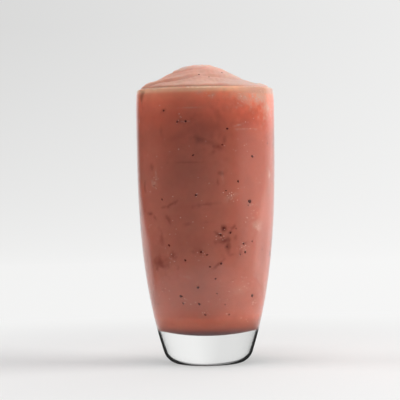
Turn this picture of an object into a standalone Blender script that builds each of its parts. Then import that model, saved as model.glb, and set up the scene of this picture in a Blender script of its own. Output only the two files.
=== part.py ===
"""A strawberry smoothie in its tall clear tumbler, at real size.

There are two solids. The tumbler is turned from one outline: a rounded foot with a hollowed underside, a wall that
swells towards the top, a round rim, and a thick base under a shallow bowl. The drink fills it to the rim and
stands above it in a swirled heap. Units are metres with +Z up, and the origin is under the middle of the foot.
"""

import math

import bmesh
import bpy
import numpy as np

MM = 0.001
TURN_STEPS = 64

# The tumbler's outside. Below BELLY_HEIGHT the wall narrows towards the foot by a power curve, and above it
# the wall closes in a little to the rim.
GLASS_HEIGHT = 152 * MM
BELLY_RADIUS = 38.3 * MM
BELLY_HEIGHT = 140 * MM
RIM_RADIUS = 37.8 * MM
FOOT_NARROWING = 15.9 * MM
FOOT_POWER = 3.1
FOOT_CORNER = 9.5 * MM

# The hollow under the foot leaves a flat ring to stand on.
PUNT_RADIUS = 11 * MM
PUNT_DEPTH = 0.8 * MM

# The wall grows thicker towards the base, and the inside ends in a shallow bowl.
RIM_WALL = 2.1 * MM
BASE_WALL = 3.5 * MM
BASE_THICKNESS = 18.5 * MM
BOWL_HEIGHT = 9.5 * MM
BOWL_POWER = 2

# The drink stands off the glass by a hair, and meets the rim just under its round edge.
DRINK_GAP = 0.3 * MM
DRINK_EDGE_DROP = 0.9 * MM

# The heap above the rim: a low skirt that rises steeply from the edge and stands higher on one side, and a
# cap on top of it.
SKIRT_RISE = 2.6 * MM
SKIRT_LEAN = 0.2 * MM
SKIRT_POWER = 12
CAP_HEIGHT = 11 * MM
CAP_RADIUS = 34 * MM
CAP_OFFSET = (-2.2 * MM, 0.5 * MM)
CAP_FALL = 2.2

# Folds left by the pour wind round the cap. Each is (start, turn, outer radius, inward run, lip height): angles
# in degrees counter-clockwise from +X, lengths in millimetres. A run below zero winds outwards.
FOLDS = (
    (200, 52, 33.7, 11.0, 1.30),
    (288, 34, 21.2, -2.4, 0.60),
    (215, 75, 17.0, 7.0, 0.45),
    (52, 120, 25.0, 9.0, 1.00),
)
FOLD_FADE = 20
FOLD_LIP_WIDTH = 7.5 * MM
FOLD_GROOVE_WIDTH = 1.0 * MM
FOLD_GROOVE_SHARE = 0.6
FOLD_SHARPNESS = 0.35 * MM

GLASS_COLOUR = (0.95, 0.97, 0.96, 1)
DRINK_COLOUR = (0.55, 0.20, 0.14, 1)


def outer_radius(z):
    """The tumbler's outside radius at height z."""
    if z > BELLY_HEIGHT:
        up = (z - BELLY_HEIGHT) / (GLASS_HEIGHT - BELLY_HEIGHT)
        return BELLY_RADIUS - (BELLY_RADIUS - RIM_RADIUS) * up**2
    return BELLY_RADIUS - FOOT_NARROWING * (1 - z / BELLY_HEIGHT) ** FOOT_POWER


def wall_slope(z):
    """The outside wall's lean from upright at height z, in radians."""
    step = 0.1 * MM
    return math.atan((outer_radius(z + step) - outer_radius(z - step)) / (2 * step))


def foot_corner_arc(steps=7):
    """Points of the round corner between the flat underside and the wall, and where it meets the wall."""
    top = FOOT_CORNER / 2
    for _ in range(20):
        lean = wall_slope(top)
        top = FOOT_CORNER * (1 - math.sin(lean))
    centre = outer_radius(top) - FOOT_CORNER * math.cos(lean)
    angles = np.linspace(-math.pi / 2, -lean, steps)
    points = [
        (centre + FOOT_CORNER * math.cos(a), FOOT_CORNER * (1 + math.sin(a)))
        for a in angles
    ]
    return points, top


def wall_at(z):
    """The wall's thickness at height z."""
    down = (GLASS_HEIGHT - z) / GLASS_HEIGHT
    return RIM_WALL + (BASE_WALL - RIM_WALL) * down**1.5


def inside_outline(heights, gap=0.0):
    """The inside surface, moved in by gap, at heights that run from 0, the middle of its floor, to 1, the rim."""
    floor, top = BASE_THICKNESS + gap, GLASS_HEIGHT - RIM_WALL / 2
    points = []
    for share in heights:
        z = floor + share * (top - floor)
        radius = outer_radius(z) - wall_at(z) - gap
        up = min((z - floor) / BOWL_HEIGHT, 1)
        points.append((radius * (1 - (1 - up) ** BOWL_POWER) ** (1 / BOWL_POWER), z))
    return points


def inside_heights():
    """Shares of the inside's height, close together in the bowl and evenly spaced up the wall."""
    bowl = BOWL_HEIGHT / (GLASS_HEIGHT - BASE_THICKNESS)
    around_bowl = [bowl * (1 - math.cos(a)) for a in np.linspace(0, math.pi / 2, 8)]
    return around_bowl + list(np.linspace(bowl, 1, 10)[1:])


def glass_outline():
    """The tumbler's section, from under the middle of the foot, up the outside and down the inside."""
    punt = [
        (r, PUNT_DEPTH * (1 - (r / PUNT_RADIUS) ** 2))
        for r in np.linspace(0, PUNT_RADIUS, 5)
    ]
    corner, corner_top = foot_corner_arc()
    rim_centre = GLASS_HEIGHT - RIM_WALL / 2
    wall = [(outer_radius(z), z) for z in np.linspace(corner_top, rim_centre, 15)[1:]]
    rim_middle = outer_radius(rim_centre) - RIM_WALL / 2
    rim = [
        (rim_middle + RIM_WALL / 2 * math.cos(a), rim_centre + RIM_WALL / 2 * math.sin(a))
        for a in np.linspace(0, math.pi, 9)[1:-1]
    ]
    inside = inside_outline(inside_heights())[::-1]
    return punt + corner + wall + rim + inside


def fold_height(x, y, start, turn, outer, run, lip):
    """One fold: a raised lip on the inner side of a line that winds round the cap, and a groove along its foot."""
    angle = (np.degrees(np.arctan2(y, x)) - start) % 360
    angle = np.where(angle > 360 - FOLD_FADE, angle - 360, angle)
    line = (outer - run * np.clip(angle / turn, -0.2, 1.2)) * MM
    rise = np.clip(angle / FOLD_FADE + 1, 0, 1)
    fall = np.clip((turn - angle) / FOLD_FADE + 1, 0, 1)
    strength = rise**2 * (3 - 2 * rise) * fall**2 * (3 - 2 * fall)
    inward = line - np.hypot(x, y)
    inside = 0.5 + 0.5 * np.tanh(inward / FOLD_SHARPNESS)
    ridge = inside * np.exp(-np.maximum(inward, 0) / FOLD_LIP_WIDTH)
    groove = np.exp(-((inward / FOLD_GROOVE_WIDTH + 0.6) ** 2))
    return strength * lip * MM * (ridge - FOLD_GROOVE_SHARE * groove)


def heap_height(x, y):
    """The height of the drink's surface above the rim at (x, y)."""
    edge = inside_outline([1], DRINK_GAP)[0][0]
    out = np.clip(np.hypot(x, y) / edge, 0, 1)
    round_edge = (1 - out**SKIRT_POWER) ** 0.5
    skirt = SKIRT_RISE - SKIRT_LEAN * x / edge + DRINK_EDGE_DROP
    from_cap_x, from_cap_y = x - CAP_OFFSET[0], y - CAP_OFFSET[1]
    from_cap = np.hypot(from_cap_x, from_cap_y) / CAP_RADIUS
    cap = CAP_HEIGHT * np.clip(1 - from_cap**2, 0, 1) ** CAP_FALL
    folds = sum(fold_height(from_cap_x, from_cap_y, *fold) for fold in FOLDS)
    return round_edge * (skirt + folds) - DRINK_EDGE_DROP + cap


def drink_outline():
    """The drink's section: the inside of the glass less the gap, then level across the top at the rim."""
    side = inside_outline(inside_heights(), DRINK_GAP)
    edge = side[-1][0]
    rings = [edge * math.sin(a) for a in np.linspace(math.pi / 2, 0, 31)[1:]]
    return side + [(r, GLASS_HEIGHT) for r in rings]


def turned(name, outline, colour, roughness):
    """A closed solid made by turning an outline, given as (radius, height) pairs, round the Z axis."""
    shape = bmesh.new()
    points = [shape.verts.new((r, 0, z)) for r, z in outline]
    edges = [shape.edges.new(pair) for pair in zip(points, points[1:])]
    bmesh.ops.spin(
        shape,
        geom=points + edges,
        axis=(0, 0, 1),
        cent=(0, 0, 0),
        steps=TURN_STEPS,
        angle=2 * math.pi,
        use_merge=True,
    )
    bmesh.ops.remove_doubles(shape, verts=shape.verts[:], dist=0.001 * MM)
    bmesh.ops.recalc_face_normals(shape, faces=shape.faces[:])
    mesh = bpy.data.meshes.new(name)
    shape.to_mesh(mesh)
    shape.free()
    mesh.shade_smooth()
    solid = bpy.data.objects.new(name, mesh)
    bpy.context.scene.collection.objects.link(solid)
    solid.data.materials.append(finish(name, colour, roughness))
    return solid


def finish(name, colour, roughness):
    """A plain material of one colour and roughness."""
    material = bpy.data.materials.new(name)
    material.use_nodes = True
    shader = material.node_tree.nodes["Principled BSDF"]
    shader.inputs["Base Color"].default_value = colour
    shader.inputs["Roughness"].default_value = roughness
    shader.inputs["Metallic"].default_value = 0
    return material


def make_glass():
    glass = turned("glass", glass_outline(), GLASS_COLOUR, 0.02)
    glass.data.materials[0].node_tree.nodes["Principled BSDF"].inputs["Transmission Weight"].default_value = 1


def make_smoothie():
    """Turns the drink, then raises its level top into the heap."""
    drink = turned("smoothie", drink_outline(), DRINK_COLOUR, 0.35)
    points = np.empty(len(drink.data.vertices) * 3)
    drink.data.vertices.foreach_get("co", points)
    points = points.reshape(-1, 3)
    top = points[:, 2] > GLASS_HEIGHT - RIM_WALL / 4
    points[top, 2] = GLASS_HEIGHT + heap_height(points[top, 0], points[top, 1])
    drink.data.vertices.foreach_set("co", points.ravel())


for leftover in list(bpy.data.objects):
    bpy.data.objects.remove(leftover)
make_glass()
make_smoothie()
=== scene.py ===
# %% [markdown]
# # A strawberry smoothie in a tall clear tumbler
#
# A fixed model holds two solids: the tumbler, and the thick drink that fills it and stands above its
# rim in a soft swirl. This lesson makes the surfaces that the eye sees, round those solids and at the
# same size. It goes from the camera to the glass, the drink, what floats in the drink, and at last the
# light.
#
# First comes the model itself, and the few sizes that everything else is worked out from.

# %% Load the model
import math

import bpy
import numpy as np
from mathutils import Matrix, Vector


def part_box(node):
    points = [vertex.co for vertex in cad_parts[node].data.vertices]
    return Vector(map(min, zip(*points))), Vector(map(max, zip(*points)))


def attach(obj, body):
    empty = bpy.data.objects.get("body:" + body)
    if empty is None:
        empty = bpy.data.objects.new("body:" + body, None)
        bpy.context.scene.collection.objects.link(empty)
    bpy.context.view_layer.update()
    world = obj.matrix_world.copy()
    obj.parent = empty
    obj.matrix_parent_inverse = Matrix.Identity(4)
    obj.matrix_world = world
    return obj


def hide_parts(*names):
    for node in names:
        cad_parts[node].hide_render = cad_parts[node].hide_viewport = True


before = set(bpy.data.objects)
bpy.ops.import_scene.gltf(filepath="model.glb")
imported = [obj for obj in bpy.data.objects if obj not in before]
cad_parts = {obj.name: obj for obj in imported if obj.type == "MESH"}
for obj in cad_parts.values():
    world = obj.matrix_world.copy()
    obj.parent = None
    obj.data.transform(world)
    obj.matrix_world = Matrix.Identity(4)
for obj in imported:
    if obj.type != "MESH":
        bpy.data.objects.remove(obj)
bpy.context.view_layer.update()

MM = 0.001
GLASS_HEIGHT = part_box("glass")[1].z
BELLY_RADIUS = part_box("glass")[1].x
print(f"glass {GLASS_HEIGHT / MM:.0f} mm high and {2 * BELLY_RADIUS / MM:.1f} mm across")

# %% [markdown]
# ## The camera
#
# The photograph was taken with a long lens from a metre away, a little below the rim, and tilted by
# less than a degree. A long lens keeps the sides of the glass upright. The focal length is worked out
# from how many pixels a thing takes at that distance, so the model falls on the same pixels as the real
# glass.

# %% Place the camera
PHOTO_PIXELS = 400
CAMERA_DISTANCE = 1.0
CAMERA_HEIGHT = 107.6 * MM
CAMERA_SIDE = -1.4 * MM
CAMERA_PITCH = math.radians(-0.974)
CAMERA_YAW = math.radians(0.12)
CAMERA_ROLL = math.radians(-0.84)
FOCAL_PIXELS = 1802
SENSOR_WIDTH = 36

camera_data = bpy.data.cameras.new("camera")
camera_data.sensor_width = SENSOR_WIDTH
camera_data.lens = FOCAL_PIXELS * SENSOR_WIDTH / PHOTO_PIXELS
camera = bpy.data.objects.new("camera", camera_data)
bpy.context.scene.collection.objects.link(camera)
bpy.context.scene.camera = camera
camera.matrix_world = (
    Matrix.Translation((CAMERA_SIDE, -CAMERA_DISTANCE, CAMERA_HEIGHT))
    @ Matrix.Rotation(CAMERA_YAW, 4, "Z")
    @ Matrix.Rotation(math.pi / 2 + CAMERA_PITCH, 4, "X")
    @ Matrix.Rotation(CAMERA_ROLL, 4, "Z")
)


def pixel_of(point):
    """The pixel that a point falls on: its place in front of the camera, divided by its depth."""
    x, y, z = camera.matrix_world.inverted() @ Vector(point)
    return PHOTO_PIXELS / 2 - FOCAL_PIXELS * x / z, PHOTO_PIXELS / 2 + FOCAL_PIXELS * y / z


print("middle of the rim plane at pixel", [round(v, 1) for v in pixel_of((0, 0, GLASS_HEIGHT))])
print("middle of the foot at pixel", [round(v, 1) for v in pixel_of((0, 0, 0))])

# %% [markdown]
# ## The shape of the glass
#
# Pressed tumblers are round, so one outline turned about the upright axis gives the whole glass. The
# outline could be a Screw modifier on a hand-drawn curve. Here it is a formula instead, because the
# drink inside has to follow the same wall. The wall narrows towards the foot by a power curve, closes
# in a little at the rim, and rounds under at the foot.

# %% The outline as formulas
RIM_RADIUS = 37.8 * MM
BELLY_HEIGHT = 140 * MM
FOOT_NARROWING = 15.9 * MM
FOOT_POWER = 3.1
FOOT_CORNER = 9.5 * MM
PUNT_RADIUS = 11 * MM
PUNT_DEPTH = 0.8 * MM
RIM_WALL = 2.1 * MM
BASE_WALL = 3.5 * MM
BASE_THICKNESS = 18.5 * MM
BOWL_HEIGHT = 9.5 * MM
BOWL_POWER = 2


def outer_radius(z):
    """The outside: below the belly, radius = belly - narrowing x (share of the way down) to a power."""
    below = BELLY_RADIUS - FOOT_NARROWING * np.clip(1 - z / BELLY_HEIGHT, 0, 1) ** FOOT_POWER
    above = np.clip((z - BELLY_HEIGHT) / (GLASS_HEIGHT - BELLY_HEIGHT), 0, None)
    return below - (BELLY_RADIUS - RIM_RADIUS) * above**2


def wall_thickness(z):
    """The wall grows from its rim thickness to its base thickness, faster near the base."""
    down = np.clip((GLASS_HEIGHT - z) / GLASS_HEIGHT, 0, 1)
    return RIM_WALL + (BASE_WALL - RIM_WALL) * down**1.5


def inner_radius(z):
    """The outside less the wall, and drawn in to the axis where the floor's bowl curves under."""
    up = np.clip((z - BASE_THICKNESS) / BOWL_HEIGHT, 0, 1)
    return (outer_radius(z) - wall_thickness(z)) * (1 - (1 - up) ** BOWL_POWER) ** (1 / BOWL_POWER)


print(f"inside radius {inner_radius(GLASS_HEIGHT) / MM:.1f} mm at the rim")

# %% [markdown]
# ## Turning an outline into a mesh
#
# A turned surface is a grid: one way runs along the outline, the other round the axis. The two ends of
# the outline lie on the axis, where a whole ring shrinks to one point, so each end gets a fan of
# triangles and the rest is quads. The points of a ring can be drawn together towards the camera's
# side, where fine marks will need them most.

# %% A helper for turned surfaces
def ring_angles(around, front=0.0):
    """Angles t of the points round one ring, less front x cos t, which draws them together towards -Y."""
    t = np.arange(around) * (2 * math.pi / around)
    return t - front * np.cos(t)


def turned_grid(radius, height, around, front=0.0):
    """Points (radius cos a, radius sin a, height) for each point of the outline and each angle a."""
    a = ring_angles(around, front)
    radius = np.asarray(radius)[:, None]
    flat = np.broadcast_to(np.asarray(height)[:, None], (len(radius), around))
    return np.stack([radius * np.cos(a), radius * np.sin(a), flat], axis=-1)


def smooth_mesh(name, points, faces):
    """A smooth-shaded mesh object from points and a list of faces."""
    mesh = bpy.data.meshes.new(name)
    mesh.from_pydata(np.asarray(points).reshape(-1, 3).tolist(), [], faces)
    mesh.update()
    mesh.shade_smooth()
    piece = bpy.data.objects.new(name, mesh)
    bpy.context.scene.collection.objects.link(piece)
    return piece


def closed_of_rings(name, rings, bottom, top):
    """A closed surface from rings of points, shape (rings, around, 3), with a pole point at each end."""
    count, around = rings.shape[:2]
    index = np.arange(count * around).reshape(count, around)
    following = np.roll(index, -1, axis=1)
    quads = np.stack([index[:-1], following[:-1], following[1:], index[1:]], axis=-1)
    low, high = count * around, count * around + 1
    first = np.stack([following[0], index[0], np.full(around, low)], axis=-1)
    last = np.stack([index[-1], following[-1], np.full(around, high)], axis=-1)
    faces = quads.reshape(-1, 4).tolist() + first.tolist() + last.tolist()
    return smooth_mesh(name, np.vstack([rings.reshape(-1, 3), bottom, top]), faces)


# %% Make the glass
GLASS_AROUND = 256


def foot_corner():
    """The foot's round corner: an arc from the flat underside to the wall, met along the wall's lean."""
    step = 0.1 * MM
    top = FOOT_CORNER / 2
    for _ in range(20):
        lean = math.atan((outer_radius(top + step) - outer_radius(top - step)) / (2 * step))
        top = FOOT_CORNER * (1 - math.sin(lean))
    middle = outer_radius(top) - FOOT_CORNER * math.cos(lean)
    a = np.linspace(-math.pi / 2, -lean, 24)
    return middle + FOOT_CORNER * np.cos(a), FOOT_CORNER * (1 + np.sin(a))


def glass_outline():
    """Underside, foot corner, outside, round rim, inside and floor, as radii and heights."""
    punt = np.linspace(0, PUNT_RADIUS, 14)[1:]
    corner_r, corner_z = foot_corner()
    rim_centre = GLASS_HEIGHT - RIM_WALL / 2
    wall = np.linspace(corner_z[-1], rim_centre, 70)[1:]
    turn = np.linspace(0, math.pi, 20)[1:-1]
    rim_middle = outer_radius(rim_centre) - RIM_WALL / 2
    inside = np.linspace(rim_centre, BASE_THICKNESS + BOWL_HEIGHT, 60)
    bowl = BASE_THICKNESS + BOWL_HEIGHT * (1 - np.cos(np.linspace(math.pi / 2, 0, 32)[1:-1]))
    radius = [punt, corner_r, outer_radius(wall), rim_middle + RIM_WALL / 2 * np.cos(turn),
              inner_radius(inside), inner_radius(bowl)]
    height = [PUNT_DEPTH * (1 - (punt / PUNT_RADIUS) ** 2), corner_z, wall,
              rim_centre + RIM_WALL / 2 * np.sin(turn), inside, bowl]
    return np.concatenate(radius), np.concatenate(height)


glass = closed_of_rings(
    "tumbler", turned_grid(*glass_outline(), GLASS_AROUND), (0, 0, PUNT_DEPTH), (0, 0, BASE_THICKNESS)
)
print("tumbler:", len(glass.data.polygons), "faces")

# %% [markdown]
# ## Finishes are graphs of nodes
#
# A finish in Blender is a graph: nodes that make numbers, colours and noise, joined to a shader.
# Joining them by hand is good for trying things out. Here a few helpers each make one kind of node and
# hand back its output, so that a finish reads like a sum.

# %% Helpers for node trees
def node(tree, kind, **settings):
    """A new node with its plain settings."""
    made = tree.nodes.new(kind)
    for name, value in settings.items():
        setattr(made, name, value)
    return made


def maths(tree, operation, first, second=0.0, clamp=False):
    """A Math node on two inputs, each a socket or a number."""
    made = node(tree, "ShaderNodeMath", operation=operation, use_clamp=clamp)
    for socket, value in zip(made.inputs, (first, second)):
        if isinstance(value, (int, float)):
            socket.default_value = value
        else:
            tree.links.new(value, socket)
    return made.outputs[0]


def times(tree, first, second):
    """The product of two sockets or numbers."""
    return maths(tree, "MULTIPLY", first, second)


def spread(tree, value, low, high, to_low=0.0, to_high=1.0, smooth=True):
    """A Map Range node: low to high becomes to_low to to_high, with soft ends if smooth."""
    made = node(tree, "ShaderNodeMapRange", interpolation_type="SMOOTHSTEP" if smooth else "LINEAR")
    tree.links.new(value, made.inputs["Value"])
    for name, number in (("From Min", low), ("From Max", high), ("To Min", to_low), ("To Max", to_high)):
        made.inputs[name].default_value = number
    return made.outputs["Result"]


def mixed(tree, share, first, second):
    """A Mix Shader node."""
    made = node(tree, "ShaderNodeMixShader")
    tree.links.new(share, made.inputs[0])
    tree.links.new(first, made.inputs[1])
    tree.links.new(second, made.inputs[2])
    return made.outputs[0]


def colour_mix(tree, share, first, second):
    """A Mix node on colours; each of its three inputs is a socket or a fixed value."""
    made = node(tree, "ShaderNodeMix", data_type="RGBA")
    for socket, value in ((made.inputs[0], share), (made.inputs[6], first), (made.inputs[7], second)):
        if isinstance(value, (int, float, tuple)):
            socket.default_value = value
        else:
            tree.links.new(value, socket)
    return made.outputs[2]


def amount_of(tree, name):
    """The number that the mesh keeps for each point under this name."""
    return node(tree, "ShaderNodeAttribute", attribute_name=name).outputs["Fac"]


def cloud(tree, places, size, seed, detail=2.0):
    """Noise in soft lumps of about this size, from 0 to 1; the seed picks another part of the noise."""
    moved = node(tree, "ShaderNodeVectorMath", operation="ADD")
    tree.links.new(places, moved.inputs[0])
    moved.inputs[1].default_value = (seed, 2 * seed, 3 * seed)
    made = node(tree, "ShaderNodeTexNoise")
    tree.links.new(moved.outputs[0], made.inputs["Vector"])
    made.inputs["Scale"].default_value = 1 / size
    made.inputs["Detail"].default_value = detail
    return made.outputs["Fac"]


def coordinates(tree, kind="Object"):
    """One of the Texture Coordinate node's outputs, as a whole and as its x, y and z."""
    places = node(tree, "ShaderNodeTexCoord").outputs[kind]
    split = node(tree, "ShaderNodeSeparateXYZ")
    tree.links.new(places, split.inputs[0])
    return places, *split.outputs


def height_ramp(tree, height, stops):
    """A colour ramp over height, from stops of (millimetres, colour)."""
    low, high = stops[0][0], stops[-1][0]
    made = node(tree, "ShaderNodeValToRGB")
    tree.links.new(spread(tree, height, low * MM, high * MM, smooth=False), made.inputs[0])
    ramp = made.color_ramp
    while len(ramp.elements) < len(stops):
        ramp.elements.new(1)
    for element, (level, colour) in zip(ramp.elements, stops):
        element.position = (level - low) / (high - low)
        element.color = (*colour, 1)
    return made.outputs[0]


# %% [markdown]
# ## Clear glass
#
# Clear glass is a Principled shader with full transmission. Light bends in it, and a renderer finds it
# hard to trace the lamps through bent paths, so for shadow rays and for light that a dull surface
# gathers, the glass is swapped for plain transparency. The drink inside is then lit evenly, and the
# camera still sees every bend and reflection.
#
# The edge of a thick clear foot shows what stands beside it, mostly darker than the table, as a thin
# dark contour. Dark boards in the scene would make it from some sides only. So the finish itself turns
# nearly black where the foot is seen at a grazing angle.

# %% The glass finish
GLASS_INDEX = 1.5
GLASS_SURFACE = {
    "Base Color": (0.985, 0.99, 0.985, 1),
    "Roughness": 0,
    "IOR": GLASS_INDEX,
    "Transmission Weight": 1,
}
CONTOUR_FROM = 0.66
CONTOUR_TO = 0.80
CONTOUR_GREY = 0.02
CONTOUR_LOW = 17 * MM
CONTOUR_HIGH = 21 * MM


def new_material(name, surface):
    """A material, its node tree and its Principled shader, whose inputs get the surface's values."""
    material = bpy.data.materials.new(name)
    material.use_nodes = True
    shader = material.node_tree.nodes["Principled BSDF"]
    for socket, value in surface.items():
        shader.inputs[socket].default_value = value
    return material, material.node_tree, shader


def dress(piece, material):
    """Puts the finish on the piece and tells how many nodes it has."""
    piece.data.materials.append(material)
    print(piece.name, "has a finish of", len(material.node_tree.nodes), "nodes")


def clear_glass():
    """Bending glass for the camera, see-through for shadow and bounced rays, dark on the foot's contour."""
    material, tree, shader = new_material("clear_glass", GLASS_SURFACE)
    rays = node(tree, "ShaderNodeLightPath")
    either = maths(tree, "MAXIMUM", rays.outputs["Is Shadow Ray"], rays.outputs["Is Diffuse Ray"])
    dark = node(tree, "ShaderNodeEmission")
    dark.inputs["Strength"].default_value = CONTOUR_GREY
    _, _, _, z = coordinates(tree)
    facing = node(tree, "ShaderNodeLayerWeight").outputs["Facing"]
    grazing = spread(tree, facing, CONTOUR_FROM, CONTOUR_TO)
    low = spread(tree, z, CONTOUR_LOW, CONTOUR_HIGH, 1, 0)
    contour = times(tree, times(tree, grazing, low), rays.outputs["Is Camera Ray"])
    edged = mixed(tree, contour, shader.outputs[0], dark.outputs[0])
    see_through = node(tree, "ShaderNodeBsdfTransparent")
    whole = mixed(tree, either, edged, see_through.outputs[0])
    tree.links.new(whole, tree.nodes["Material Output"].inputs["Surface"])
    return material


dress(glass, clear_glass())
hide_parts("glass")
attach(glass, "root")

# %% [markdown]
# ## The drink's heap
#
# A thick smoothie poured to the brim stands above it. Its skirt rises steeply from the rim, a cap sits
# on that, and the last ribbons of the pour leave folds that wind round it. A sculpted mesh could hold
# this, but a height above the rim, given for every (x, y), is easier to steer: skirt, cap and folds are
# terms that add up.

# %% The heap as a height function
DRINK_REACH = 0.15 * MM
DRINK_EDGE_DROP = 0.9 * MM
SKIRT_RISE = 2.6 * MM
SKIRT_LEAN = 0.2 * MM
SKIRT_POWER = 12
CAP_HEIGHT = 11 * MM
CAP_RADIUS = 34 * MM
CAP_OFFSET = (-2.2 * MM, 0.5 * MM)
CAP_FALL = 2.2
# Each fold is (start and turn in degrees, outer radius, inward run and lip height in millimetres).
# A run below zero winds outwards.
FOLDS = (
    (200, 52, 33.7, 11.0, 1.30),
    (288, 34, 21.2, -2.4, 0.60),
    (215, 75, 17.0, 7.0, 0.45),
    (52, 120, 25.0, 9.0, 1.00),
)
FOLD_FADE = 20
FOLD_OVERRUN = 0.2
FOLD_LIP_WIDTH = 7.5 * MM
FOLD_GROOVE_WIDTH = 1.0 * MM
FOLD_GROOVE_AT = 0.6
FOLD_GROOVE_SHARE = 0.6
FOLD_SHARPNESS = 0.35 * MM
RIM_EDGE = outer_radius(GLASS_HEIGHT - RIM_WALL / 2) - wall_thickness(GLASS_HEIGHT - RIM_WALL / 2)


def eased(share):
    """0 below 0, 1 above 1, and between them 3 s squared - 2 s cubed, which starts and ends level."""
    share = np.clip(share, 0, 1)
    return share * share * (3 - 2 * share)


def fold_height(x, y, start, turn, outer, run, lip):
    """A raised lip on the inner side of a line that winds round the cap, and a groove along its foot."""
    angle = (np.degrees(np.arctan2(y, x)) - start) % 360
    angle = np.where(angle > 360 - FOLD_FADE, angle - 360, angle)
    line = (outer - run * np.clip(angle / turn, -FOLD_OVERRUN, 1 + FOLD_OVERRUN)) * MM
    strength = eased(angle / FOLD_FADE + 1) * eased((turn - angle) / FOLD_FADE + 1)
    inward = line - np.hypot(x, y)
    inside = 0.5 + 0.5 * np.tanh(inward / FOLD_SHARPNESS)
    ridge = inside * np.exp(-np.maximum(inward, 0) / FOLD_LIP_WIDTH)
    groove = np.exp(-((inward / FOLD_GROOVE_WIDTH + FOLD_GROOVE_AT) ** 2))
    return strength * lip * MM * (ridge - FOLD_GROOVE_SHARE * groove)


def heap_height(x, y):
    """Height above the rim: a skirt rounded off at the edge, a cap that falls to nothing, and the folds."""
    out = np.clip(np.hypot(x, y) / RIM_EDGE, 0, 1)
    round_edge = (1 - out**SKIRT_POWER) ** 0.5
    skirt = SKIRT_RISE - SKIRT_LEAN * x / RIM_EDGE + DRINK_EDGE_DROP
    from_cap_x, from_cap_y = x - CAP_OFFSET[0], y - CAP_OFFSET[1]
    from_cap = np.hypot(from_cap_x, from_cap_y) / CAP_RADIUS
    cap = CAP_HEIGHT * np.clip(1 - from_cap**2, 0, 1) ** CAP_FALL
    folds = sum(fold_height(from_cap_x, from_cap_y, *fold) for fold in FOLDS)
    return round_edge * (skirt + folds) - DRINK_EDGE_DROP + cap


print(f"heap {heap_height(np.array(0.0), np.array(0.0)) / MM:.1f} mm above the rim in the middle")

# %% [markdown]
# ## Fine relief
#
# Blended fruit is never quite smooth: soft lumps a few millimetres across, and finer grain on them.
# Adding up plane waves that run in random directions gives such lumps at any scale, with no seam
# anywhere. Each wave's direction and phase come from a seeded generator, so the lumps are the same
# every time.

# %% Lumps from random waves
def lumps(points, wavelength, seed, waves=20):
    """The sum of cosines of random plane waves, scaled to about -1 to 1."""
    rng = np.random.default_rng(seed)
    direction = rng.normal(size=(3, waves))
    direction /= np.linalg.norm(direction, axis=0)
    length = wavelength * rng.uniform(0.7, 1.5, waves)
    phase = rng.uniform(0, 2 * math.pi, waves)
    wave = np.cos(points @ (direction * 2 * math.pi / length) + phase)
    return wave.sum(axis=-1) * math.sqrt(2 / waves) / 2


# %% The drink's surface
DRINK_AROUND = 400
FRONT_SHARE = 0.35
SIDE_ROWS = 168
BOWL_ROWS = 18
HEAP_ROWS = 62
# Each relief is (height, wavelength, seed).
RELIEFS = ((0.28 * MM, 9 * MM, 112), (0.09 * MM, 2.6 * MM, 4))
RELIEF_FADE = 2 * MM


def heap_points(x, y):
    """Points of the heap at (x, y), raised and lowered by fine relief that fades out at the rim."""
    points = np.stack([x, y, GLASS_HEIGHT + heap_height(x, y)], axis=-1)
    free = eased((RIM_EDGE - np.hypot(x, y)) / RELIEF_FADE)
    points[..., 2] += free * sum(height * lumps(points, length, seed) for height, length, seed in RELIEFS)
    return points


def drink_rings():
    """Rings from the middle of the floor, up along the glass, and over the heap to its top."""
    a = np.linspace(0, math.pi / 2, BOWL_ROWS + 1)[1:]
    bowl = BASE_THICKNESS + BOWL_HEIGHT * (1 - np.cos(a))
    side = np.linspace(bowl[-1], GLASS_HEIGHT - RIM_WALL / 2, SIDE_ROWS + 1)[1:]
    height = np.concatenate([bowl, side])
    sunk = DRINK_REACH * (height < side[0])
    wall = turned_grid(inner_radius(height) + DRINK_REACH, height - sunk, DRINK_AROUND, FRONT_SHARE)
    inward = (RIM_EDGE + DRINK_REACH) * np.sin(np.linspace(math.pi / 2, 0, HEAP_ROWS + 1)[1:-1])
    heap = turned_grid(inward, np.zeros_like(inward), DRINK_AROUND, FRONT_SHARE)
    return np.concatenate([wall, heap_points(heap[..., 0], heap[..., 1])])


rings = drink_rings()
top_height = rings[-1, :, 2].mean()
drink_bottom = BASE_THICKNESS - DRINK_REACH
drink = closed_of_rings("smoothie_body", rings, (0, 0, drink_bottom), (0, 0, top_height))
print("drink:", len(drink.data.polygons), "faces")

# %% [markdown]
# ## Reading places off the picture
#
# Seeds and scraps of fruit lie against the inside of the glass. To put the ones that show in their
# right places, a pixel of the photograph is followed back to the drink: the ray meets the outside of
# the glass, bends by the law of refraction, and reaches the inner wall at a slightly different angle.
# All sizes along the wall are then real ones.

# %% From a pixel to the wall of the drink
AXIS_PIXEL_TOP = (204.6, 89.3)
AXIS_PIXEL_FOOT = (208.6, 363.2)
HORIZON_PIXEL = 169.4
SINE_LIMIT = 0.999
# The drink's left edge, middle and right edge, and the row they are read at.
EDGE_PIXELS = (140, 205.9, 272)
EDGE_ROW = 200


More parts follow.
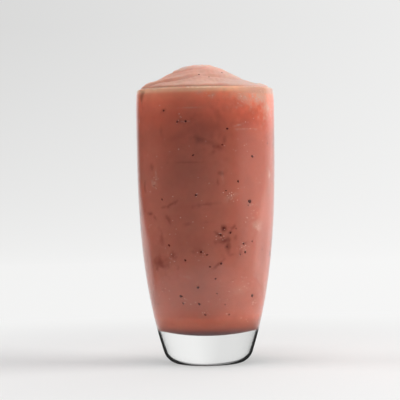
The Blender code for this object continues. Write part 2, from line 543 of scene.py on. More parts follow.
def seen_at(across, down):
    """The (angle, height) on the inner wall that a pixel shows, after one bend at the outside."""
    share = (down - AXIS_PIXEL_TOP[1]) / (AXIS_PIXEL_FOOT[1] - AXIS_PIXEL_TOP[1])
    axis = AXIS_PIXEL_TOP[0] + share * (AXIS_PIXEL_FOOT[0] - AXIS_PIXEL_TOP[0])
    height = CAMERA_HEIGHT - (down - HORIZON_PIXEL) / FOCAL_PIXELS
    turn = 0.0
    for _ in range(3):
        outside, inside = outer_radius(height), inner_radius(height)
        near = CAMERA_DISTANCE - outside * math.cos(turn)
        height = CAMERA_HEIGHT - (down - HORIZON_PIXEL) / FOCAL_PIXELS * near
        sine = (across - axis) / FOCAL_PIXELS * near / outside
        meets = math.asin(np.clip(sine, -SINE_LIMIT, SINE_LIMIT))
        bent = math.asin(math.sin(meets) / GLASS_INDEX)
        sine = outside * math.sin(bent) / inside
        turn = meets + math.asin(np.clip(sine, -SINE_LIMIT, SINE_LIMIT)) - bent
    return turn - math.pi / 2, height


front = [round(math.degrees(seen_at(across, EDGE_ROW)[0]) + 90) for across in EDGE_PIXELS]
print("edge, middle and edge of the drink show at", front, "degrees")

# %% [markdown]
# ## Scraps of fruit and froth in the drink
#
# Blended fruit leaves darker scraps, brownish smears and thin creases in the pink, and a little froth
# where air was beaten in. They are colour, not shape, because the glass presses them flat. A painted
# texture could hold them, but a number on each point of the mesh is simpler, and a finish can read it
# by name: how much pulp, how much froth. Each mark is a soft blot on the unrolled wall, with its edge
# made uneven by the same random waves as the relief. Those on the front are placed from the
# photograph, and a seeded generator strews more round the back.
# Some of the dark marks are painted shade, not scraps: broad faint blots on the lit right side, and dark
# strokes along the drink's lowest edge.

# %% The marks on the front
# Each mark is (pixel across and down, half width and height in millimetres, turn in degrees, strength).
# Some rows are painted shade: the broad faint blots near pixels (238, 104) to (251, 123) and at (256, 306),
# where the key lamp lights the right side, and the dark strokes along the lowest edge, from (162, 328) to
# (254, 329).
PULP_AND_SHADE_MARKS = (
    (224, 229, 1.6, 1.5, 0, 1), (230, 233, 1.3, 0.9, 30, 0.9), (219, 235, 2, 0.8, -20, 0.9),
    (225, 241, 3.1, 1.5, 10, 0.9), (227.5, 246.5, 1.3, 2.6, 0, 0.85), (233, 228, 1.4, 0.6, 40, 0.6),
    (157, 251, 6.5, 5, 0, 0.2), (160, 262, 5.6, 3, 4, 0.75), (161, 265.5, 4, 0.9, 0, 0.75),
    (173, 255.5, 1.5, 2.2, 15, 0.6), (238, 104, 7, 4, -12, 0.22), (251, 113, 6, 3.8, 20, 0.24),
    (256, 306, 10, 9, 0, 0.14), (226, 107, 4, 3, 0, 0.12), (162, 239, 1.2, 3.4, 0, 0.5),
    (199, 139, 3.6, 1.8, -14, 0.6), (208, 142, 4, 1.6, -10, 0.35), (218, 147, 2, 1.6, -35, 0.65),
    (224, 141, 1.2, 2.6, -15, 0.4), (203, 128, 9.5, 5.5, 0, 0.3), (221, 173.6, 2.2, 1, -10, 0.55),
    (217.6, 182, 0.5, 2.1, 0, 0.45), (171, 204, 3.2, 0.6, 28, 0.7), (164, 206.5, 2.3, 0.5, 12, 0.55),
    (150.5, 213, 2.3, 0.7, 0, 0.8), (155, 217, 1.7, 0.7, -50, 0.4), (168, 219, 0.7, 3, 28, 0.55),
    (144.8, 186, 0.8, 2.4, 0, 0.6), (188, 162, 7.4, 0.35, 0, 0.35), (206, 204.5, 6, 0.6, 6, 0.35),
    (187, 224, 2, 0.6, 0, 0.3), (207, 222, 2, 0.4, 0, 0.3), (219, 264, 3.4, 0.6, 38, 0.55),
    (193, 252, 1.8, 0.8, -30, 0.3), (200, 251, 1.2, 1.2, 0, 0.35), (245, 244, 1.8, 1, 25, 0.55),
    (240, 253, 1.1, 1.6, 0, 0.45), (232, 255, 2.4, 0.7, 15, 0.35), (180, 121, 1.8, 1.1, 0, 0.4),
    (163, 110, 1.4, 1.2, 0, 0.35), (141.8, 96.5, 2.2, 3, -12, 0.6), (152, 167, 1.3, 1.8, 0, 0.45),
    (161, 131, 1, 3.5, 0, 0.25), (178, 136, 5, 2.4, 10, 0.22), (213, 152, 1.8, 1.2, 20, 0.35),
    (244, 330, 7.5, 1.6, 0, 0.5), (199, 331, 8.5, 1.8, 0, 0.35), (153, 281, 1.2, 2.3, 10, 0.3),
    (163, 289, 1.1, 1.5, 0, 0.3), (232, 281, 1.6, 0.6, 30, 0.25), (162, 328, 2.6, 0.45, -14, 1),
    (254, 329, 1.6, 0.4, 14, 1), (246, 123, 6.5, 3.2, 10, 0.28), (218, 116, 2.4, 3.8, 25, 0.25),
)
FROTH_MARKS = (
    (262, 93, 2.6, 1.8, 20, 0.6), (240, 97, 4.2, 1.6, -15, 0.45), (252, 94, 3.4, 1.3, 10, 0.5),
    (260, 98, 9, 4.2, 0, 0.8), (266, 108, 5, 5, 0, 0.65), (244, 98, 6, 3, -20, 0.55),
    (269, 176.5, 1.3, 2, 0, 0.6), (257, 226, 3.4, 2.4, 0, 0.3), (250, 206, 1.5, 0.6, 0, 0.25),
    (231, 197, 4.4, 1.2, 20, 0.2), (154, 183, 2, 1.6, 0, 0.28), (156, 177, 0.8, 3.2, 0, 0.22),
    (244, 130, 5, 0.3, 0, 0.4), (237, 126, 2.6, 0.3, 12, 0.35), (185, 121, 2.4, 0.25, 0, 0.25),
    (269, 186, 1, 7, 0, 0.2), (242, 247, 1.4, 0.5, -20, 0.35), (257, 205, 1.2, 0.6, 0, 0.2),
    (171, 329.5, 2.6, 0.7, -12, 0.75), (256, 329.5, 1.8, 0.7, 14, 0.75), (139.3, 121, 0.5, 1.2, 0, 0.9),
    (190, 107.5, 4.4, 0.25, 0, 0.25), (222, 176, 0.8, 3.4, 5, 0.15), (200, 92, 2.2, 1, 0, 0.3),
    (213, 95, 1.8, 1.2, 20, 0.35), (186, 277, 3.4, 0.4, -12, 0.2), (240, 290, 5, 3, 20, 0.12),
)
MARK_WARP = 0.40
WARP_SIZE = 3.5 * MM
FINE_WARP_SIZE = 1.6 * MM
WARP_LIMITS = (0.45, 2)


def wall_marks(points, marks, seed):
    """At each point the strongest blot: its strength in the middle, falling as exp(-distance squared)."""
    angle, height = np.arctan2(points[..., 1], points[..., 0]), points[..., 2]
    radius = np.hypot(points[..., 0], points[..., 1])
    uneven = 1 + MARK_WARP * lumps(points, WARP_SIZE, seed)
    uneven = uneven + MARK_WARP / 2 * lumps(points, FINE_WARP_SIZE, seed + 1)
    uneven = np.clip(uneven, *WARP_LIMITS)
    amount = np.zeros(angle.shape)
    for turn, level, half_width, half_height, lean, strength in marks:
        along = radius * ((angle - turn + math.pi) % (2 * math.pi) - math.pi) / MM
        up = (height - level) / MM
        lean = math.radians(lean)
        across = (along * math.cos(lean) + up * math.sin(lean)) / half_width
        upward = (up * math.cos(lean) - along * math.sin(lean)) / half_height
        far = np.sqrt(across**2 + upward**2) * uneven
        amount = np.maximum(amount, strength * np.exp(-(far**2)))
    return amount


# %% Marks round the back
# Each row is (how many, seed, half heights in millimetres, strengths).
BACK_PULP = (120, 21, (0.4, 1.9), (0.25, 0.9))
BACK_FROTH = (46, 22, (0.4, 1.8), (0.15, 0.6))
BACK_FROM = math.radians(-10)
BACK_TO = math.radians(190)
BACK_STRETCH = (0.6, 3.2)
BACK_LEAN = 50


def strewn_marks(count, seed, sizes, strengths):
    """Marks at random places of the wall that the camera doesn't see, mostly wider than they are high."""
    rng = np.random.default_rng(seed)
    turn = rng.uniform(BACK_FROM, BACK_TO, count)
    level = rng.uniform(BASE_THICKNESS + 6 * MM, GLASS_HEIGHT - 4 * MM, count)
    half_height = rng.uniform(*sizes, count)
    half_width = half_height * rng.uniform(*BACK_STRETCH, count)
    lean = rng.uniform(-BACK_LEAN, BACK_LEAN, count)
    strength = rng.uniform(*strengths, count)
    return list(zip(turn, level, half_width, half_height, lean, strength))


def placed_marks(marks):
    """The front's marks, with the pixel of each turned into a place on the wall."""
    return [(*seen_at(across, down), *rest) for across, down, *rest in marks]


pulp_and_shade_marks = placed_marks(PULP_AND_SHADE_MARKS) + strewn_marks(*BACK_PULP)
froth_marks = placed_marks(FROTH_MARKS) + strewn_marks(*BACK_FROTH)
print(len(pulp_and_shade_marks), "scraps and", len(froth_marks), "patches of froth")

# %% [markdown]
# Four amounts are kept on the drink's points, from 0 to 1. Pulp and froth come from the marks, and the pulp
# amount carries the painted shade marks too. Two more are painted light and shade: a painted sheen makes
# the heap's right side paler, and painted shade makes the drink just under the rim there duller.

# %% Write the amounts on the drink's points
WALL_TOP = GLASS_HEIGHT - 0.3 * MM
WALL_FADE = 0.8 * MM
RIM_FADE = 0.6 * MM
PULP_SEED = 31
FROTH_SEED = 33
SHEEN_SIDE = 0.9
SHEEN_REACH = 22 * MM
RIM_SHADE_SIDE = 0.9
RIM_SHADE_FROM = 12 * MM
RIM_SHADE_REACH = 14 * MM
RIM_SHADE_LOW = 147.5 * MM
RIM_SHADE_FADE = 1.5 * MM


def point_places(piece):
    """The piece's points as one array."""
    places = np.empty(len(piece.data.vertices) * 3)
    piece.data.vertices.foreach_get("co", places)
    return places.reshape(-1, 3)


def write_amount(piece, name, amount):
    """A number for each point, kept in the mesh under a name that a material can read."""
    kept = piece.data.attributes.new(name, "FLOAT", "POINT")
    kept.data.foreach_set("value", np.asarray(amount, np.float32))


places = point_places(drink)
on_wall = eased((WALL_TOP - places[:, 2]) / WALL_FADE)
# The pulp amount holds the painted shade marks as well as the scraps of fruit.
write_amount(drink, "pulp", wall_marks(places, pulp_and_shade_marks, PULP_SEED) * on_wall)
write_amount(drink, "froth", wall_marks(places, froth_marks, FROTH_SEED) * on_wall)
above_rim = eased((places[:, 2] - GLASS_HEIGHT) / RIM_FADE)
# Painted sheen: the heap turns paler towards its right side.
write_amount(drink, "pale", SHEEN_SIDE * eased(places[:, 0] / SHEEN_REACH) * above_rim)
# Painted shade: the drink just under the rim turns duller towards the right, where the key lamp falls.
rim_shade = RIM_SHADE_SIDE * eased((places[:, 0] - RIM_SHADE_FROM) / RIM_SHADE_REACH)
rim_shade *= eased((places[:, 2] - RIM_SHADE_LOW) / RIM_SHADE_FADE)
rim_shade *= eased((GLASS_HEIGHT + RIM_FADE - places[:, 2]) / RIM_FADE)
write_amount(drink, "rim_shade", rim_shade)
print("amounts written on", len(places), "points of the drink")

# %% [markdown]
# ## The drink's finish
#
# The pink is dusty and soft. Just under the rim it is deeper and more orange, a painted glow for light that
# entered through the heap and shines back out. It is pale on the heap, with a painted sheen on the heap's
# right side and a painted shade that dulls the drink just under the rim there. A photograph wrapped round
# the glass would hold the light of one day, so the base colour is a ramp over height, clouded by noise at
# three scales, and then tinted by the amounts on the mesh, the froth broken up into flecks.
# Light goes a few millimetres in and comes out near by, which the shader's subsurface part does.
#
# The underside has painted shade: it is dark, because hardly any light gets in there. In mirrored rays the
# lowest part is painted nearly black, a painted dark reflection which gives the clear foot its thin dark
# lines.

# %% The drink's colours
# Each stop is (height in millimetres, linear colour).
# Painted light and shade in the stops: the dark stops at 18 and 23 mm are painted shade at the bottom; from
# 136 to 151.6 mm the orange is a painted glow under the rim; the dark stop at 152.4 mm is painted shade in
# the crease where the heap meets the rim; on the heap, the darker stop at 161 mm is painted shade and the
# lighter top at 165 mm is painted light.
DRINK_STOPS = (
    (18, (0.30, 0.075, 0.055)),
    (23, (0.48, 0.140, 0.090)),
    (27, (0.55, 0.170, 0.113)),
    (34, (0.53, 0.163, 0.108)),
    (60, (0.535, 0.164, 0.110)),
    (105, (0.515, 0.145, 0.094)),
    (126, (0.53, 0.129, 0.076)),
    (136, (0.65, 0.140, 0.077)),
    (144, (0.82, 0.196, 0.110)),
    (148.6, (0.91, 0.295, 0.165)),
    (150.2, (0.98, 0.565, 0.370)),
    (151.6, (0.98, 0.580, 0.390)),
    (152.4, (0.52, 0.230, 0.155)),
    (153.4, (0.74, 0.415, 0.320)),
    (157, (0.75, 0.415, 0.325)),
    (161, (0.74, 0.390, 0.308)),
    (165, (0.80, 0.455, 0.375)),
)
PULP_AND_SHADE_COLOUR = (0.21, 0.036, 0.024, 1)
FROTH_COLOUR = (0.63, 0.44, 0.35, 1)
SHEEN_COLOUR = (0.67, 0.435, 0.375, 1)
RIM_SHADE_COLOUR = (0.64, 0.36, 0.27, 1)
UNDERSIDE_COLOUR = (0.10, 0.026, 0.027, 1)
MIRRORED_COLOUR = (0.006, 0.004, 0.004, 1)
print(len(DRINK_STOPS), "colour stops over the height")


# %% The drink's finish
# Each cloud is (size in millimetres, seed, how much it changes the brightness).
DRINK_CLOUDS = ((26, 1.3, 0.34), (9, 2.1, 0.22), (2.6, 3.7, 0.12))
UNDERSIDE_REACH = 4.2 * MM
FLECK_SIZE = 1.3 * MM
FLECK_NOISE = (0.40, 0.60)
FLECK_RANGE = (0.75, 1.2)
MIRRORED_FROM = 34 * MM
MIRRORED_TO = 44 * MM
# Red light comes back out furthest from where it went in.
DRINK_SURFACE = {
    "Roughness": 0.5,
    "Specular IOR Level": 0.22,
    "Subsurface Weight": 1,
    "Subsurface Radius": (1, 0.40, 0.28),
    "Subsurface Scale": 7 * MM,
}


def drink_finish():
    """The ramp times (1 + the clouds), then mixed in turn with each amount's own colour."""
    material, tree, shader = new_material("smoothie", DRINK_SURFACE)
    places, _, _, z = coordinates(tree)
    pink = height_ramp(tree, z, DRINK_STOPS)
    clouds = 1.0
    for size, seed, strength in DRINK_CLOUDS:
        noise = maths(tree, "SUBTRACT", cloud(tree, places, size * MM, seed), 0.5)
        clouds = maths(tree, "ADD", clouds, times(tree, noise, strength))
    clouded = node(tree, "ShaderNodeVectorMath", operation="SCALE")
    tree.links.new(pink, clouded.inputs[0])
    tree.links.new(clouds, clouded.inputs["Scale"])
    colour = colour_mix(tree, amount_of(tree, "pulp"), clouded.outputs[0], PULP_AND_SHADE_COLOUR)
    noise = cloud(tree, places, FLECK_SIZE, 6.2, detail=3.0)
    flecks = spread(tree, noise, *FLECK_NOISE, *FLECK_RANGE)
    froth = maths(tree, "MULTIPLY", amount_of(tree, "froth"), flecks, clamp=True)
    colour = colour_mix(tree, froth, colour, FROTH_COLOUR)
    for name, tint in (("pale", SHEEN_COLOUR), ("rim_shade", RIM_SHADE_COLOUR), ("underside", UNDERSIDE_COLOUR)):
        colour = colour_mix(tree, amount_of(tree, name), colour, tint)
    # Painted dark reflection: in mirrored rays the drink's lowest part turns nearly black.
    low = spread(tree, z, MIRRORED_FROM, MIRRORED_TO, 1, 0)
    reflected = node(tree, "ShaderNodeLightPath").outputs["Is Reflection Ray"]
    in_mirror = times(tree, reflected, low)
    colour = colour_mix(tree, in_mirror, colour, MIRRORED_COLOUR)
    tree.links.new(colour, shader.inputs["Base Color"])
    return material


# Painted shade: the drink darkens within a few millimetres of its floor.
under = (BASE_THICKNESS + UNDERSIDE_REACH - places[:, 2]) / UNDERSIDE_REACH
write_amount(drink, "underside", eased(under) ** 1.5)
dress(drink, drink_finish())
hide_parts("smoothie")
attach(drink, "root")

# %% [markdown]
# ## Seeds
#
# Strawberry seeds come through the blender whole. Each is a flattened teardrop, a little over a
# millimetre long and dark brown, that lies against the glass at any angle. One seed is a small closed
# shape of a few dozen faces, and all of them together are one mesh: the shape is turned, scaled and put
# in its place with arrays.

# %% Helpers for strewn pieces
def strewn(name, shape, faces, places, outward, size, spin):
    """Copies of one small shape, each scaled by size, spun about its z, and set with z along outward."""
    outward = outward / np.linalg.norm(outward, axis=1, keepdims=True)
    side = np.cross((0, 0, 1), outward)
    side += (np.linalg.norm(side, axis=1, keepdims=True) < 1e-6) * np.array([1.0, 0, 0])
    side /= np.linalg.norm(side, axis=1, keepdims=True)
    up = np.cross(outward, side)
    cos, sin = np.cos(spin)[:, None], np.sin(spin)[:, None]
    axes = np.stack([cos * side + sin * up, cos * up - sin * side, outward], axis=1)
    points = np.einsum("vk,nk,nkc->nvc", shape, size, axes) + places[:, None, :]
    index = np.asarray(faces)[None] + (np.arange(len(places)) * len(shape))[:, None, None]
    return smooth_mesh(name, points.reshape(-1, 3), index.reshape(-1, index.shape[-1]).tolist())


def small_ball(rows, around, taper=0.0):
    """A ball of radius 1 as triangles, its width times (1 - taper x height) so that one end is thinner."""
    tilt = np.linspace(0, math.pi, rows + 1)[1:-1]
    turn = ring_angles(around)
    along = np.cos(tilt)
    width = np.sin(tilt) * (1 - taper * along)
    x = np.broadcast_to(along[:, None], (rows - 1, around))
    ring = np.stack([x, width[:, None] * np.cos(turn), width[:, None] * np.sin(turn)], axis=-1)
    points = np.vstack([ring.reshape(-1, 3), (1, 0, 0), (-1, 0, 0)])
    index = np.arange((rows - 1) * around).reshape(rows - 1, around)
    after = np.roll(index, -1, axis=1)
    near, far = np.full(around, index.size), np.full(around, index.size + 1)
    corners = (
        (index[:-1], index[1:], after[1:]),
        (index[:-1], after[1:], after[:-1]),
        (near, index[0], after[0]),
        (far, after[-1], index[-1]),
    )
    return points, np.concatenate([np.stack(three, -1).reshape(-1, 3) for three in corners])


def on_the_wall(turn, height, depth):
    """Points on the inner wall, moved in by depth, and the wall's outward direction there."""
    radius = inner_radius(height) - depth
    slope = (outer_radius(height + MM) - outer_radius(height - MM)) / (2 * MM)
    outward = np.stack([np.cos(turn), np.sin(turn), -slope], axis=-1)
    places = np.stack([radius * np.cos(turn), radius * np.sin(turn), height], axis=-1)
    return places, outward


print("a small ball:", len(small_ball(5, 8)[1]), "faces")


# %% Make the seeds
# Each seed that shows is (pixel across, pixel down, length in millimetres).
SHOWN_SEEDS = (
    (163.5, 110, 1.2), (177, 121.5, 1.1), (185.5, 121, 1.4), (227, 129, 1.5), (267, 144, 0.9),
    (252, 157, 1.6), (193, 155, 1.2), (238, 182, 1.4), (196, 195, 1.4), (162, 199, 1.1),
    (249.4, 202, 2.5), (248, 206, 0.8), (224, 228.5, 1.1), (230.5, 233, 1.2), (227, 247, 0.9),
    (243.5, 244, 1.3), (252, 242, 1.1), (245, 252.5, 1.4), (240, 255, 1), (262, 250, 0.9),
    (169, 245, 1.2), (185, 260, 1.2), (201, 252, 1.2), (207, 255, 1.1), (210, 267, 1.2),
    (221, 264, 1.3), (215.5, 279, 1.2), (198, 287.5, 1.5), (181, 296, 1.6), (183, 303, 1.1),
    (199, 304, 1.4), (252, 296, 2), (158, 303, 0.9), (205, 315, 1.1), (217, 294, 0.9), (225, 305, 0.8),
    (229, 315, 0.9), (154, 185, 0.8), (226, 191, 0.8), (220.5, 235, 1.2), (236, 229, 0.8),
    (222, 145, 1),
)
BACK_SEEDS = 150
SEED_LENGTHS = (0.7, 1.6)
# Each seed on the front of the heap is (x, y and length in millimetres).
FRONT_HEAP_SEEDS = (
    (-3.1, -19.5, 0.9), (2.3, -21.5, 0.8), (9.7, -12.6, 1.2), (16.9, -8.4, 0.7), (10.5, -19.0, 0.6),
)
HEAP_SEEDS = 14
HEAP_SEED_LENGTHS = (0.7, 1.2)
HEAP_SEED_EDGE = RIM_EDGE - 4 * MM
HEAP_SEED_ARC = (math.radians(15), math.radians(165))
# A seed on the heap faces along (x, y, this), so those further out lean further out.
HEAP_SEED_UP = 0.05 / 3
SEED_DEPTH = 0.12 * MM
SEED_REACH = 0.1 * MM
SEED_SHAPE = (0.56, 0.42, 0.24)
SEED_VARIETY = (0.85, 1.15)


def make_seeds():
    """Seeds at the pixels listed, at random round the back, and on the heap in front and behind."""
    rng = np.random.default_rng(41)
    shown = np.array([seen_at(across, down) for across, down, _ in SHOWN_SEEDS])
    turn = np.concatenate([shown[:, 0], rng.uniform(BACK_FROM, BACK_TO, BACK_SEEDS)])
    level = rng.uniform(BASE_THICKNESS + BOWL_HEIGHT, GLASS_HEIGHT - 3 * MM, BACK_SEEDS)
    height = np.concatenate([shown[:, 1], level])
    shown_length = [length for _, _, length in SHOWN_SEEDS]
    length = np.concatenate([shown_length, rng.uniform(*SEED_LENGTHS, BACK_SEEDS)])
    places, outward = on_the_wall(turn, height, -SEED_REACH)
    reach = rng.uniform(0, 1, HEAP_SEEDS) ** 0.5 * HEAP_SEED_EDGE
    around = rng.uniform(*HEAP_SEED_ARC, HEAP_SEEDS)
    placed = np.array(FRONT_HEAP_SEEDS)
    x = np.concatenate([placed[:, 0] * MM, reach * np.cos(around)])
    y = np.concatenate([placed[:, 1] * MM, reach * np.sin(around)])
    places = np.vstack([places, heap_points(x, y) - (0, 0, SEED_DEPTH)])
    outward = np.vstack([outward, np.stack([x, y, np.full(len(x), HEAP_SEED_UP)], axis=-1)])
    length = np.concatenate([length, placed[:, 2], rng.uniform(*HEAP_SEED_LENGTHS, HEAP_SEEDS)])
    variety = rng.uniform(*SEED_VARIETY, (len(length), 3))
    size = length[:, None] * MM * np.array(SEED_SHAPE) * variety
    shape, faces = small_ball(6, 8, taper=0.35)
    spin = rng.uniform(0, 2 * math.pi, len(length))
    return strewn("seeds", shape, faces, places, outward, size, spin)


seeds = make_seeds()
print("seeds:", len(seeds.data.polygons), "faces")


# %% The seeds' finish
SEED_DARK = (0.055, 0.008, 0.007, 1)
SEED_LIGHT = (0.15, 0.026, 0.016, 1)
SEED_SURFACE = {"Roughness": 0.45, "Specular IOR Level": 0.1}


def seed_finish():
    """Brown between dark and light by noise that changes from seed to seed."""
    material, tree, shader = new_material("seeds", SEED_SURFACE)
    places = node(tree, "ShaderNodeTexCoord").outputs["Object"]
    shade = cloud(tree, places, 1.5 * MM, 5.1)
    colour = colour_mix(tree, shade, SEED_DARK, SEED_LIGHT)
    tree.links.new(colour, shader.inputs["Base Color"])
    return material


dress(seeds, seed_finish())
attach(seeds, "root")

# %% [markdown]
# ## Bubbles
#
# Beaten air stays in the drink as small bubbles. Against the glass they read as pale dots, single or in
# loose rafts beside the froth. Flat specks would do from afar, but a ball catches light on its own
# side, so they are small balls in one mesh like the seeds.

# %% Make the bubbles
# Each raft is (pixel across, pixel down, spread in millimetres, how many).
BUBBLE_RAFTS = (
    (262, 93, 2.4, 16), (240, 97, 3.6, 14), (252, 94, 3, 12), (205, 92, 5, 12), (269, 176.5, 1.1, 8),
    (258, 228, 2.8, 22), (252, 215, 4, 12), (229, 196, 3, 12), (155, 182, 3, 12), (244, 248, 3.4, 12),
    (174, 328.8, 1.6, 10), (254, 329.5, 1.8, 8), (222, 236, 3.6, 10), (184, 300, 2.6, 8),
    (254, 303, 2.6, 10), (205, 313, 3, 6), (178, 120, 3, 6), (240, 150, 6, 8), (171, 256, 3, 8),
    (200, 255, 4, 10), (197, 195, 1.6, 6), (240, 285, 8, 10), (165, 290, 5, 6), (154, 283, 1, 2),
    (139.5, 121, 0.3, 3),
)
LOOSE_BUBBLES = 180
BUBBLE_RADIUS = (0.11, 0.30)
BUBBLE_SUNK = 0.4
BUBBLE_DARK = (0.68, 0.32, 0.24, 1)
BUBBLE_LIGHT = (0.97, 0.72, 0.58, 1)
BUBBLE_SURFACE = {"Roughness": 0.35}


def make_bubbles():
    """Single bubbles all over the wall, and rafts that thin out as a bell curve does."""
    rng = np.random.default_rng(51)
    turn = [rng.uniform(-math.pi, math.pi, LOOSE_BUBBLES)]
    lowest, highest = BASE_THICKNESS + 0.6 * BOWL_HEIGHT, GLASS_HEIGHT - 2 * MM
    height = [rng.uniform(lowest, highest, LOOSE_BUBBLES)]
    for across, down, reach, count in BUBBLE_RAFTS:
        middle, level = seen_at(across, down)
        turn.append(middle + rng.normal(0, 0.5 * reach * MM, count) / inner_radius(level))
        height.append(level + rng.normal(0, 0.5 * reach * MM, count))
    turn = np.concatenate(turn)
    height = np.clip(np.concatenate(height), BASE_THICKNESS + 2 * MM, GLASS_HEIGHT - 1.5 * MM)
    radius = rng.uniform(*BUBBLE_RADIUS, len(turn)) * MM
    # A raft below the drink's lowest line finds no wall, so its bubbles are left out.
    found = np.isfinite(turn)
    turn, height, radius = turn[found], height[found], radius[found]
    places, outward = on_the_wall(turn, height, BUBBLE_SUNK * radius - DRINK_REACH)
    shape, faces = small_ball(5, 8)
    size = np.repeat(radius[:, None], 3, axis=1)
    return strewn("bubbles", shape, faces, places, outward, size, np.zeros_like(turn))


def bubble_finish():
    """Pale pink between dark and light by noise that changes over a few millimetres."""
    material, tree, shader = new_material("froth", BUBBLE_SURFACE)
    places = node(tree, "ShaderNodeTexCoord").outputs["Object"]
    colour = colour_mix(tree, cloud(tree, places, 4 * MM, 7.3), BUBBLE_DARK, BUBBLE_LIGHT)
    tree.links.new(colour, shader.inputs["Base Color"])
    return material


bubbles = make_bubbles()
dress(bubbles, bubble_finish())
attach(bubbles, "root")
print("bubbles:", len(bubbles.data.polygons), "faces")

# %% [markdown]
# ## Paper
#
# The set is one sheet of pale paper: flat under the glass, and curved up far away on every side, so
# that no edge shows. A plain backdrop would do for one view, but the glass is looked at
# from all round. Near the glass it is a real surface that takes the shadow and throws light back up.
# Further out it only shines with the soft grey of a studio wall, and lets bounced light pass, because a
# whole room of bright paper would light the drink flat from all sides.

# %% The paper's shape
PAPER_FLAT = 1.1
PAPER_RADIUS = 2.4
PAPER_BEND = 0.9
PAPER_TOP = 2.0


def paper_sheet():
    """Flat to PAPER_FLAT, then rising with the square of the way out to PAPER_BEND, then straight up."""
    out = np.concatenate([np.linspace(0.03, PAPER_FLAT, 30), np.linspace(PAPER_FLAT, PAPER_RADIUS, 30)[1:]])
    bend = np.clip((out - PAPER_FLAT) / (PAPER_RADIUS - PAPER_FLAT), 0, 1) ** 2 * PAPER_BEND
    up = np.linspace(PAPER_BEND, PAPER_TOP, 8)[1:]
    grid = turned_grid(np.append(out, np.full(len(up), PAPER_RADIUS)), np.append(bend, up), 96)
    index = np.arange(grid.shape[0] * grid.shape[1]).reshape(grid.shape[:2])
    following = np.roll(index, -1, axis=1)
    quads = np.stack([index[:-1], index[1:], following[1:], following[:-1]], axis=-1).reshape(-1, 4)
    middle = np.stack([index[0], following[0], np.full(grid.shape[1], index.size)], axis=-1)
    points = np.vstack([grid.reshape(-1, 3), (0, 0, 0)])
    return smooth_mesh("paper", points, quads.tolist() + middle.tolist())


paper = paper_sheet()
print("paper:", len(paper.data.polygons), "faces")

# %% [markdown]
# The paper's finish mixes three shaders by the distance from the glass: a dull white surface near by, a
# soft glow far out, and plain transparency for bounced rays. The glow falls with the square root of the
# height, and towards the left, as the wall behind the glass does, and is a little brighter for rays
# that come through the glass. In rays that a shiny surface mirrors, the floor round the foot is nearly
# black.

# %% The paper's finish
BOUNCE_INSIDE = 0.12
BOUNCE_OUTSIDE = 0.30
GLOW_INSIDE = 0.12
GLOW_OUTSIDE = 0.34
GLOW_LOW = 0.91
GLOW_HIGH = 0.77
GLOW_HIGH_AT = 0.34
GLOW_SIDE = 0.33
GLOW_LEAN_LOW = 0.025
GLOW_LEAN_HIGH = 0.07
GLOW_THROUGH = 0.10
PAPER_SURFACE = {"Base Color": (0.88, 0.882, 0.888, 1), "Roughness": 0.9, "Specular IOR Level": 0}
MIRRORED_SHADE = 0.85
MIRRORED_NEAR = 0.07
MIRRORED_FAR = 0.11


def paper_finish():
    """Dull white to GLOW_INSIDE, glow from GLOW_OUTSIDE, and see-through there for bounced rays."""
    material, tree, shader = new_material("paper", PAPER_SURFACE)
    _, x, y, z = coordinates(tree)
    squares = maths(tree, "ADD", times(tree, x, x), times(tree, y, y))
    out = maths(tree, "SQRT", squares)
    height = maths(tree, "SQRT", spread(tree, z, 0.0, GLOW_HIGH_AT, smooth=False))
    side = spread(tree, x, -GLOW_SIDE, GLOW_SIDE, -1, 1, smooth=False)
    lean = spread(tree, height, 0, 1, GLOW_LEAN_LOW, GLOW_LEAN_HIGH, smooth=False)
    strength = spread(tree, height, 0, 1, GLOW_LOW, GLOW_HIGH, smooth=False)
    strength = maths(tree, "ADD", strength, times(tree, side, lean))
    rays = node(tree, "ShaderNodeLightPath")
    through = rays.outputs["Is Transmission Ray"]
    strength = maths(tree, "ADD", strength, times(tree, through, GLOW_THROUGH))
    glow = node(tree, "ShaderNodeEmission")
    glow.inputs["Color"].default_value = (1, 1, 0.995, 1)
    tree.links.new(strength, glow.inputs["Strength"])
    seen = mixed(tree, spread(tree, out, GLOW_INSIDE, GLOW_OUTSIDE), shader.outputs[0], glow.outputs[0])
    dark = node(tree, "ShaderNodeEmission")
    dark.inputs["Strength"].default_value = 0
    mirrored = times(tree, rays.outputs["Is Reflection Ray"], rays.outputs["Is Glossy Ray"])
    near = spread(tree, out, MIRRORED_NEAR, MIRRORED_FAR, MIRRORED_SHADE, 0)
    shaded = times(tree, mirrored, near)
    seen = mixed(tree, shaded, seen, dark.outputs[0])
    bounced = maths(tree, "MAXIMUM", rays.outputs["Is Diffuse Ray"], rays.outputs["Is Reflection Ray"])
    away = times(tree, bounced, spread(tree, out, BOUNCE_INSIDE, BOUNCE_OUTSIDE))
    nothing = node(tree, "ShaderNodeBsdfTransparent")
    whole = mixed(tree, away, seen, nothing.outputs[0])
    tree.links.new(whole, tree.nodes["Material Output"].inputs["Surface"])
    return material


dress(paper, paper_finish())

# %% [markdown]
# ## Lamps and sky
#
# A large soft lamp stands to the right, hardly in front of the glass, so the light grazes across it:
# bright on the right, darkest just left of the middle. A weaker one on the left lifts that edge. A
# third hangs high up, a little in front and to the left, for the heap, and is the only one that shows
# in mirrors. Area lamps are like the softboxes of a studio: bright rectangles with soft shadows.

# %% The lamps
LAMP_AIM = (0, 0, 0.08)


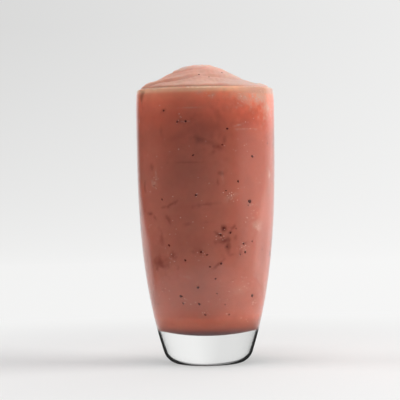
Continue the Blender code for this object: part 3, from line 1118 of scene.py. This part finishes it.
def softbox(name, bearing, distance, height, size, power, colour=(1, 1, 1), mirrored=False):
    """A lamp of size (width, height); its bearing is in degrees from the camera's side towards +X."""
    data = bpy.data.lights.new(name, "AREA")
    data.shape = "RECTANGLE"
    data.size, data.size_y = size
    data.energy = power
    data.color = colour
    lamp = bpy.data.objects.new(name, data)
    bpy.context.scene.collection.objects.link(lamp)
    turn = math.radians(bearing)
    place = (distance * math.sin(turn), -distance * math.cos(turn), height)
    lamp.location = place
    lamp.rotation_euler = (Vector(place) - Vector(LAMP_AIM)).to_track_quat("Z", "Y").to_euler()
    lamp.visible_glossy = mirrored
    lamp.visible_transmission = False
    return lamp


# Each lamp is (name, bearing, distance, height, size, watts, colour).
lamps = (
    softbox("key", 80, 1.08, 0.46, (0.9, 0.5), 10.3, (1, 0.99, 0.96)),
    softbox("fill", -90, 1.25, 0.42, (0.7, 0.6), 5.9, (1, 0.985, 0.97)),
    softbox("top", -15, 0.3, 1.5, (0.8, 0.8), 7.2, mirrored=True),
)
print("lamps:", ", ".join(f"{lamp.name} {lamp.data.energy:.1f} W" for lamp in lamps))

# %% [markdown]
# The sky is what rays meet where there is no paper. A picture of a real room would bring its own
# colours, so it is worked out from the direction alone: bright behind the glass, where it gives the
# wall its pale rims, dark behind the camera, so nothing mirrors in the front of the glass, and soft
# overhead. Two bright cards stand on the right: a low one that lights the drink and lines the right
# edge, and a small one that only the rim mirrors.

# %% The sky
SKY_BACK = 0.9
SKY_BACK_FROM = 0.60
SKY_BACK_TO = 0.88
SKY_FRONT = 0.02
SKY_SIDE = 0.25
SKY_TOP = 0.35
SKY_TOP_FROM = 0.3
SKY_TOP_TO = 0.95
FLOOR_LEAN = 0.4
FLOOR_FROM = -0.12
FLOOR_TO = -0.02
CARD = 0.72
CARD_FROM = 0.72
CARD_TO = 0.97
CARD_TOP = (0.015, 0.032)
RIM_CARD = 0.25
RIM_CARD_RIGHT = (0.42, 0.62)
RIM_CARD_BACK = (0.50, 0.70)


def sky():
    """A soft step on y + SKY_SIDE x for the back, which the floor adds to, one on z, and the cards."""
    world = bpy.data.worlds.new("sky")
    world.use_nodes = True
    tree = world.node_tree
    _, x, y, z = coordinates(tree, "Generated")
    lean = maths(tree, "ADD", y, times(tree, x, SKY_SIDE))
    lean = maths(tree, "ADD", lean, spread(tree, z, FLOOR_FROM, FLOOR_TO, FLOOR_LEAN, 0, smooth=False))
    back = spread(tree, lean, SKY_BACK_FROM, SKY_BACK_TO, SKY_FRONT, SKY_BACK)
    overhead = spread(tree, z, SKY_TOP_FROM, SKY_TOP_TO, 0, SKY_TOP)
    rays = node(tree, "ShaderNodeLightPath")
    mirrored = times(tree, rays.outputs["Is Reflection Ray"], rays.outputs["Is Glossy Ray"])
    low = times(tree, spread(tree, z, *CARD_TOP, 1, 0), mirrored)
    shown = maths(tree, "MAXIMUM", low, rays.outputs["Is Diffuse Ray"])
    card = times(tree, spread(tree, x, CARD_FROM, CARD_TO, 0, CARD), shown)
    rim = times(tree, spread(tree, x, *RIM_CARD_RIGHT, 0, RIM_CARD), spread(tree, y, *RIM_CARD_BACK))
    cards = maths(tree, "ADD", card, times(tree, rim, mirrored))
    light = maths(tree, "ADD", maths(tree, "ADD", back, overhead), cards)
    tree.links.new(light, tree.nodes["Background"].inputs["Strength"])
    tree.nodes["Background"].inputs["Color"].default_value = (1, 1, 1, 1)
    return world


bpy.context.scene.world = sky()
bpy.context.scene.view_settings.view_transform = "Standard"
print("sky", SKY_BACK, "behind and", SKY_FRONT, "in front")
